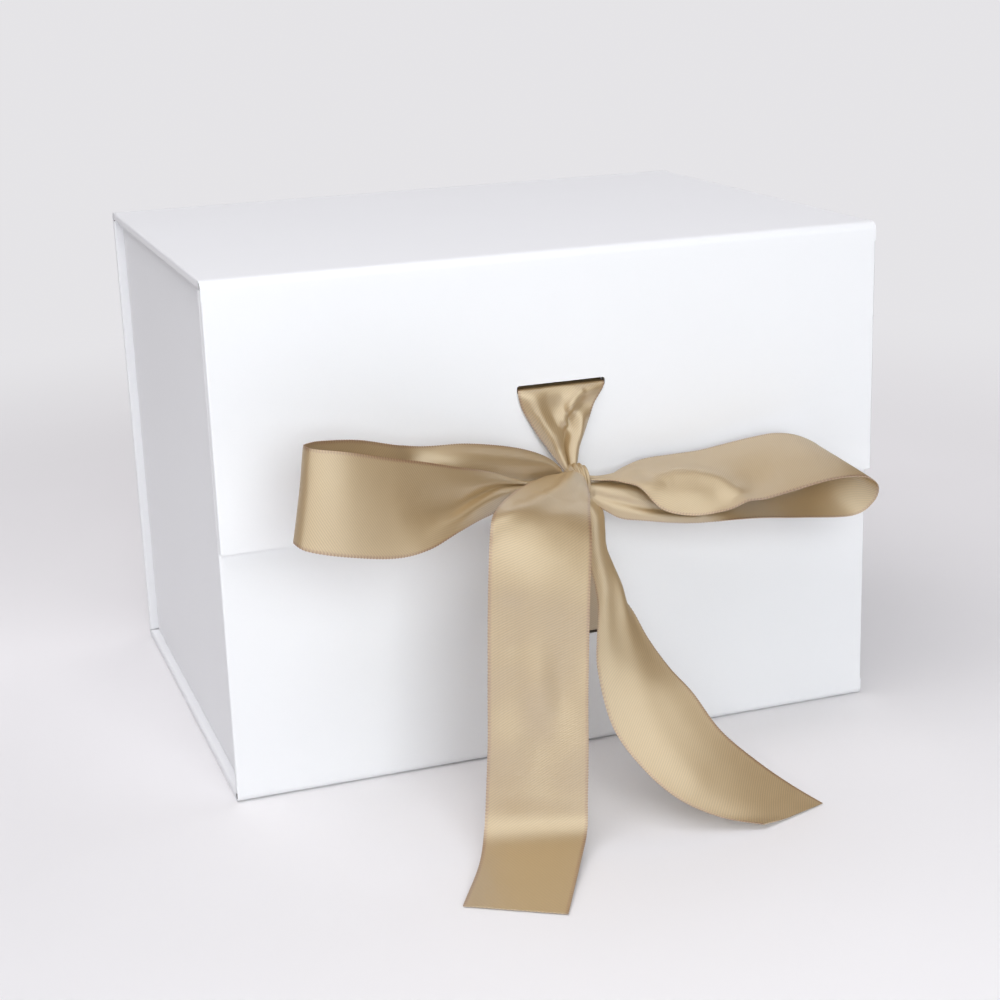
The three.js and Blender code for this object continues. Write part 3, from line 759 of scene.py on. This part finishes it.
# Left loop
# It stands out from the flap to the left: a near strand whose lower edge is folded lengthwise at
# the knot, the round end, and a far strand whose inner face shows above it.
left_loop_rows = [
    bow_row(
        (-3.6, 10.5, 88.6), (-3.5, 11.6, 87.8), (-3.4, 10.6, 87.0), (-3.4, 12.2, 86.0), (-3.4, 11.6, 84.8),
    ),
    bow_row((-9.5, 13, 89.6), (-9.2, 14, 88.8), (-8.8, 13, 87.8), (-8.4, 15.2, 86.8), (-8, 14.2, 85.2)),
    bow_row(
        (-16.4, 17, 89.8), (-16, 18.5, 89.4), (-15.6, 17.6, 88.9), (-15.0, 20, 88.0), (-14.4, 18.6, 86.4),
    ),
    bow_row((-23, 21.5, 92.6), (-23, 23, 91.6), (-23.2, 22.4, 90.8), (-22.6, 25.4, 90.0), (-22, 24, 87.6)),
    bow_row((-29.5, 25.5, 96), (-29.5, 27, 93.8), (-30, 26.8, 92), (-29.6, 30, 91), (-29, 29, 87)),
    bow_row((-36, 29, 98.6), (-36.4, 30.8, 95), (-37.2, 30.6, 91.4), (-37, 34, 90.2), (-36.4, 33.5, 86.2)),
    bow_row(
        (-43.5, 32.3, 101.2), (-44.4, 34, 96.4), (-45.8, 35.4, 90.6), (-45.6, 38.6, 88.2), (-44.6, 39, 85.2),
    ),
    bow_row((-52, 35.3, 104.2), (-53.2, 37, 98.6), (-54.2, 39, 92.4), (-54.6, 41.4, 87.2), (-54, 43, 82.9)),
    bow_row(
        (-61.5, 38, 107), (-62.2, 39.6, 101), (-62.8, 41.2, 95), (-63.2, 42.8, 88.6), (-63.5, 44.4, 82.4),
    ),
    bow_row((-73.5, 39.9, 110.5), (-75, 42.6, 97.8), (-76.6, 45, 84.8)),
    bow_row((-81, 38.6, 111.8), (-83, 41, 99.4), (-85.6, 43, 86.9)),
    bow_row((-83, 35, 112), (-85.3, 36.9, 100), (-88, 38.5, 88)),
    bow_row((-81.5, 31, 111.5), (-83.6, 32.4, 99), (-86, 33.5, 86.5)),
    bow_row((-77, 28, 111), (-78.4, 29.2, 98), (-80, 30, 85)),
    bow_row((-66, 24, 109), (-67.2, 25.8, 96), (-68.5, 27, 83)),
    bow_row((-54, 21, 105.4), (-54.8, 21.8, 93), (-55.5, 22, 80)),
    bow_row((-45, 18.6, 103.6), (-45.5, 21.6, 97), (-46, 19.5, 79)),
    bow_row((-35, 16.8, 102.6), (-35.6, 20.6, 97), (-36, 17, 79.5)),
    bow_row((-24, 14.4, 100.2), (-24.3, 17.6, 95), (-24.5, 13.6, 81.5)),
    bow_row((-15, 11.8, 97.2), (-15, 14, 93.2), (-15, 11.2, 84)),
    bow_row((-8, 9.8, 93.6), (-8, 10.8, 91), (-8, 9.2, 86)),
    bow_row((-3.65, 8.0, 89.6), (-3.65, 8.6, 88), (-3.65, 7.5, 85)),
]
left_loop_folds = [(15.2, 0.0, 16.2, 0.5, 0.6, 3.0)]
surface, length = ribbon_surface(left_loop_rows, pleats=2, pleat_depth=0.25, folds=left_loop_folds)
ribbon_mesh("satin_left_loop", surface, length, "bow", "ribbon_left_loop")


# Right loop
# It lies back against the flap to the right, and its open end turns towards the viewer, so that
# the inside of the round end shows. Beside the knot it is folded lengthwise and twisted.
right_loop_rows = [
    bow_row((4.25, 8.0, 86.8), (4.25, 8.8, 86.4), (4.25, 10.2, 85.8)),
    bow_row((7.6, 7.0, 85.4), (7.6, 9.2, 86.2), (7.0, 10.6, 85.5)),
    bow_row((12.2, 6, 85.4), (12, 9.6, 86.6), (10.4, 12.6, 85.5)),
    bow_row((16.5, 5.5, 87.0), (15.6, 10.6, 87.2), (13.5, 15, 84.6)),
    bow_row((23, 4.8, 88.4), (23, 9.6, 87.2), (20.4, 15.8, 84.2), (17.2, 18.2, 82.4)),
    bow_row((32, 4, 88.4), (30.6, 10, 87), (26.4, 18.4, 83), (21.5, 22.2, 78)),
    bow_row((41, 4, 88.6), (38.8, 10.6, 86.6), (34, 20.6, 81.8), (29.5, 24.4, 76)),
    bow_row((49, 4.2, 89.6), (47, 11, 86.8), (42.4, 21, 80.8), (38, 26.0, 76.6)),
    bow_row((57, 4.5, 90.6), (55.2, 11.6, 87.4), (51.6, 20.4, 81.6), (48, 27, 78.4)),
    bow_row((64.5, 5.2, 91.2), (63.2, 12.6, 88), (61, 20.4, 84), (59, 27.8, 80.4)),
    bow_row((70.5, 7, 90.4), (70.8, 14.4, 88), (70.8, 21.6, 85.2), (70.5, 28.6, 82.4)),
    bow_row((75.5, 9, 88), (77.2, 15.8, 86.2), (79.2, 22.4, 84.2), (80.8, 28.2, 82)),
    bow_row((77, 10, 85.8), (80, 16, 83.4), (83.4, 22, 80.8), (86.5, 27.3, 78.4)),
    bow_row((75, 9, 83.2), (78.4, 15, 80.4), (82.4, 21, 77), (86, 26, 73.2)),
    bow_row((70, 6.5, 81.2), (74.4, 15.8, 75.6), (80.2, 24, 69.2)),
    bow_row((59, 4, 80), (61.2, 13.4, 75.2), (64.5, 21.6, 70)),
    bow_row((48, 2.5, 79.5), (49.2, 12.0, 75.4), (50.5, 20.6, 71.4)),
    bow_row((38, 2, 80.2), (36.6, 12.4, 78.6), (35.4, 17.2, 75.8), (34.8, 19.2, 73.8), (34, 19, 71.8)),
    bow_row((30, 2.2, 81.6), (27.4, 13, 80.6), (26.4, 16, 77.6), (25.8, 17.6, 75), (25.4, 17.6, 72.6)),
    bow_row((22, 3, 83.4), (19.8, 12.5, 82.2), (19.2, 14.6, 79), (18.6, 15.8, 76), (18.2, 15.6, 73.6)),
    bow_row((15.4, 4.4, 84.2), (14, 10.8, 83.4), (13.4, 12.8, 80.6), (12.8, 13.6, 77.4), (12.2, 13.4, 74.4)),
    bow_row((9.6, 6, 84.4), (9, 9.6, 83.8), (8.6, 11.4, 81.6), (8.2, 12, 79), (8, 11.8, 76.8)),
    bow_row((4.1, 7.5, 84.6), (4.1, 9, 84), (4.1, 10, 82.6), (4, 10.2, 81), (4, 9.8, 79.8)),
]
right_loop_folds = [
    (3.6, 0.9, 4.25, 0.55, -1.2, 3.2), (4.25, 0.55, 4.9, 0.48, -1.3, 3.2),
    (4.9, 0.48, 5.8, 0.48, -1.4, 3.6), (5.8, 0.48, 6.6, 0.55, -1.4, 3.6),
    (6.6, 0.55, 7.25, 0.72, -1.4, 3.6), (7.25, 0.72, 7.75, 1.0, -1.2, 3.2),
    (17.2, 0.66, 21.6, 0.6, -0.9, 1.5),
]
surface, length = ribbon_surface(right_loop_rows, pleats=2, pleat_depth=0.12, folds=right_loop_folds)
ribbon_mesh("satin_right_loop", surface, length, "bow", "ribbon_right_loop")


# Left tail
# It comes forward out of the knot almost level and fans out, bends over a slanting ridge, hangs
# clear of the box and ends flat on the table.
left_tail_rows = [
    tail_row((-4.8, 12.2, 89.3), (-4.2, 13, 89.7), (-3.4, 13.4, 89.9), (-2.3, 13.3, 89.7), (-1.2, 13, 89.5)),
    tail_row(
        (-11.6, 17, 90.5), (-10.2, 18.5, 90.3), (-7.8, 18.6, 90.1), (-4.3, 17.6, 90.1), (-0.8, 16.4, 88.9),
    ),
    tail_row(
        (-19.5, 24, 91.3), (-16.7, 26.5, 90.4), (-12.6, 26.5, 89.6), (-7, 24.5, 89.9), (-1.6, 22.5, 87.6),
    ),
    tail_row((-27.3, 32, 91.3), (-23.4, 35, 89.6), (-17.8, 34.5, 88.9), (-11.5, 33, 88.4), (-4.5, 31, 86.8)),
    tail_row(
        (-33.2, 38.5, 90.3), (-28.7, 41, 88.5), (-22.5, 41.5, 87.5), (-15.5, 41, 86.7), (-7.8, 39.5, 85),
    ),
    tail_row(
        (-36.5, 42, 87.6), (-31.2, 44.5, 85.5), (-24.4, 46, 83.9), (-17.6, 46.5, 82.2), (-10.3, 46.5, 80.7),
    ),
    tail_row(
        (-37.9, 44.5, 83.4), (-32.2, 47, 80.8), (-25.8, 48.8, 78.8), (-19.2, 49.8, 76.7), (-12.1, 50.2, 74.7),
    ),
    tail_row((-39.2, 46.5, 74.6), (-33.4, 49, 72.5), (-27.2, 51, 70.6), (-20.6, 52, 68.2), (-13.8, 53, 66)),
    tail_row((-40.4, 48, 61.8), (-34.2, 50, 59.7), (-28, 52, 57.8), (-21.3, 52.8, 55.1), (-14.9, 54.4, 53)),
    tail_row((-41.6, 50, 47.1), (-35.1, 51, 45.3), (-29.2, 54, 44), (-22.3, 54, 41.4), (-16.4, 57, 40.4)),
    tail_row(
        (-42.7, 51.5, 31.5), (-36.5, 53.6, 30.7), (-29.8, 54.4, 29.2), (-23.8, 57, 28.6), (-17.4, 59, 27.7),
    ),
    tail_row(
        (-43.8, 52, 17.8), (-37.6, 54.6, 16.9), (-31.2, 56.4, 15.9), (-25, 58.4, 15), (-18.4, 60.2, 14.1),
    ),
    tail_row((-45.6, 54.5, 7.5), (-32.6, 59, 6.9), (-20, 63.2, 6)),
    tail_row((-50.3, 63.5, 2.5), (-38.4, 69, 2.4), (-26.5, 74, 2.3)),
    tail_row((-60, 79, 0.4), (-48.6, 86, 0.4), (-37.2, 93, 0.4)),
]
left_tail_folds = [
    (5.3, 0.0, 2.8, 0.42, 1.3, 3.0), (2.8, 0.42, 1.0, 0.85, 1.0, 2.6), (1.0, 0.85, 3.0, 0.97, 0.4, 1.8),
    (7.6, 0.22, 8.2, 0.25, -0.5, 4.0), (9.4, 0.1, 9.9, 0.6, -0.5, 6.5),
]
surface, length = ribbon_surface(left_tail_rows, pleats=2, pleat_depth=0.15, folds=left_tail_folds)
ribbon_mesh(
    "satin_left_tail", surface, length, ("bow", "left_tail"), "ribbon_left_tail",
    blend_over=((0, -0.088, 0.09), (-0.006, -0.104, 0.092)),
)


# Right tail
# It leaves the knot below, narrow behind the left tail, with the rest of its width folded back
# behind it. It opens as it falls forward, and its corner lies a little curled on the table.
right_tail_rows = [
    tail_row((1.2, 9.4, 79.8), (2.6, 10.6, 80.0), (4.6, 9.8, 80.6), (3.4, 8.6, 80.4), (1.8, 8.2, 80)),
    tail_row((1.2, 11, 76.4), (4.4, 12.8, 76.6), (7.3, 11.2, 76.8), (3.8, 9.4, 76.6), (-1.4, 8.6, 76.4)),
    tail_row((0.6, 14.2, 72.6), (3.6, 16.2, 72.4), (6.5, 14.6, 72.4), (3.4, 12, 72.4), (-2.8, 11, 72.6)),
    tail_row((-0.4, 18, 68.4), (2.6, 19.8, 68.2), (5.3, 18.4, 68.4), (3.2, 15.6, 68.4), (-2.8, 14.4, 68.4)),
    tail_row((-1, 22, 64.2), (2.2, 23.6, 64.2), (5.5, 22.4, 64), (5.2, 19.8, 63.8), (-0.6, 18.2, 63.8)),
    tail_row((-1.2, 26, 59.4), (2.1, 27, 59.7), (5.3, 26.6, 59.4), (6.7, 25, 59.2), (4, 23, 59.2)),
    tail_row((-2.3, 30.4, 54.7), (1, 31, 54.6), (4.3, 31, 54.1), (6.8, 30.2, 53.7), (7.8, 29.4, 53.3)),
    tail_row((-4.6, 35, 49.2), (-0.7, 35.8, 48.7), (3.3, 36, 47.9), (7.2, 35.6, 46.8), (10.5, 35, 45.8)),
    tail_row((-7, 41, 41.2), (-1.5, 42, 41.1), (3.9, 42.4, 40.5), (9.4, 42, 39.6), (14, 41.4, 38.9)),
    tail_row((-6.2, 49, 27.9), (1.7, 49.2, 30.3), (10.3, 48.6, 32.3), (18.3, 47.4, 32.9)),
    tail_row((-0.8, 56.5, 17.8), (7.4, 56.4, 19.9), (15.5, 55.2, 22.1), (23.8, 53.4, 23.2)),
    tail_row((7, 63, 10), (15.8, 62, 11.6), (24.4, 59.8, 13), (33, 57, 14)),
    tail_row((17.5, 67, 4.5), (25.8, 65.8, 5), (33.8, 63, 5.8), (42, 60, 6.5)),
    tail_row((28.5, 70, 1.6), (36, 67.6, 0.7), (43, 65.2, 0.5), (50.5, 62.7, 0.4)),
]
right_tail_folds = [(8.2, 0.45, 10.6, 0.35, 0.3, 4.0)]
surface, length = ribbon_surface(right_tail_rows, pleats=2, pleat_depth=0.35, folds=right_tail_folds)
ribbon_mesh(
    "satin_right_tail", surface, length, ("bow", "right_tail"), "ribbon_right_tail",
    blend_over=((0.002, -0.088, 0.081), (0.003, -0.094, 0.071)),
)
